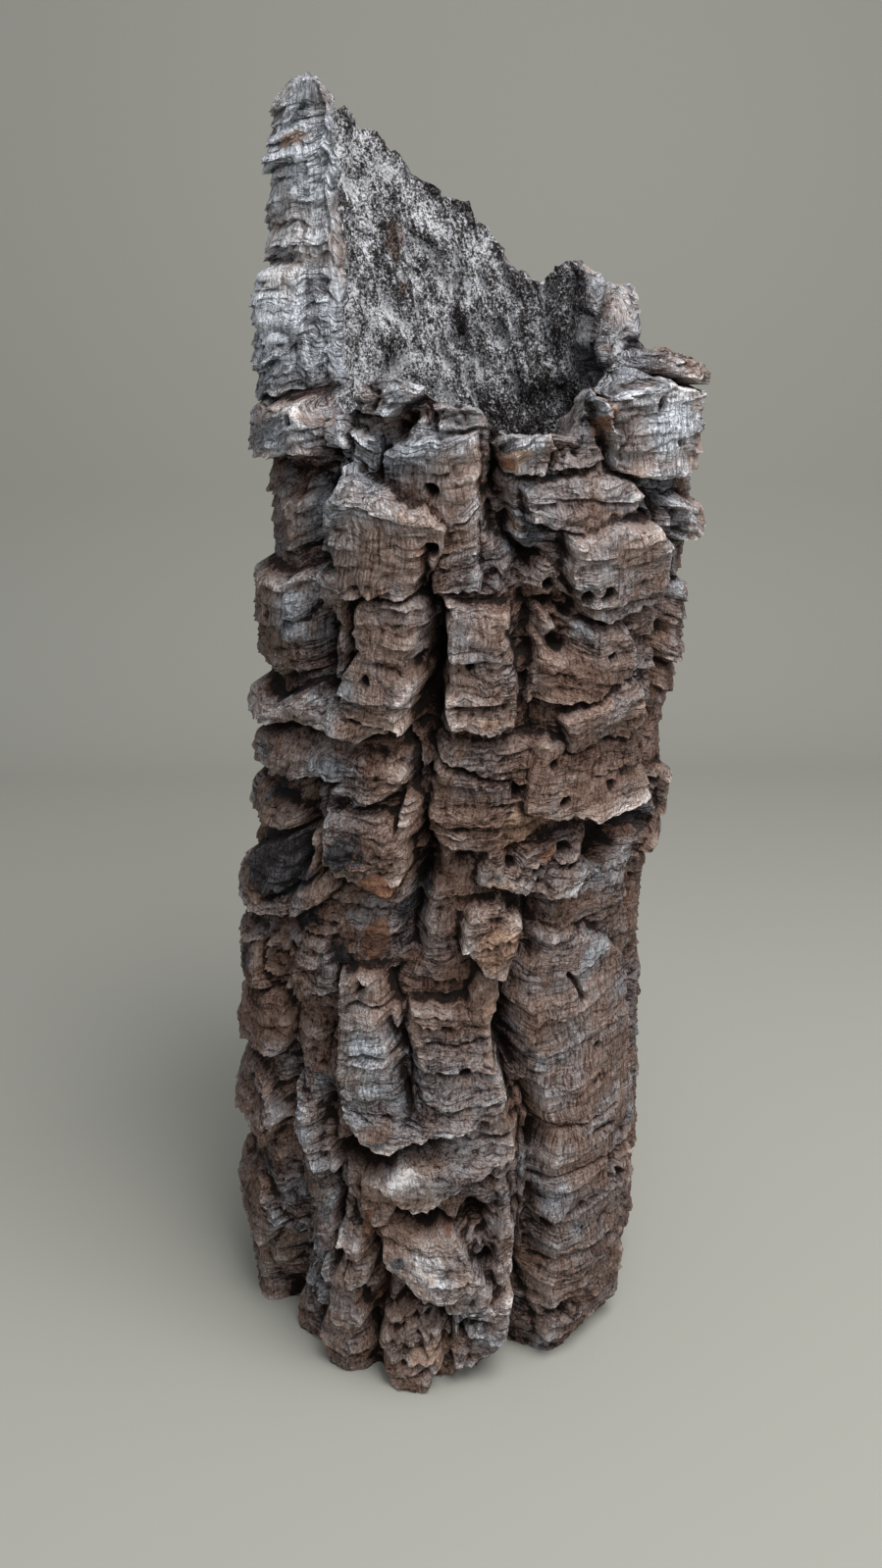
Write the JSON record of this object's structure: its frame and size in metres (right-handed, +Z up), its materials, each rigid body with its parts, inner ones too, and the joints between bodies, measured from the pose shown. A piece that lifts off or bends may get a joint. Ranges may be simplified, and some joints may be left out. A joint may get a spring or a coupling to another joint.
{
  "type": "cork branch",
  "caption": "Hollow branch of thick, deeply fissured cork bark, open through from end to end, standing on a flat sawn end with a broken slanting top.",
  "frame": {"origin": "centre of the bounding box, at the height of the sawn lower end that the branch stands on", "axes": "+Z up along the branch, -Y towards the low front wall, +X to the right of a viewer who faces that wall"},
  "size_m": [0.343, 0.3299, 0.8475],
  "materials": {
    "cork_bark": "rough weathered bark, matt"
  },
  "bodies": {
    "root": {"cork_tube": "cork_bark"}
  },
  "joints": []
}
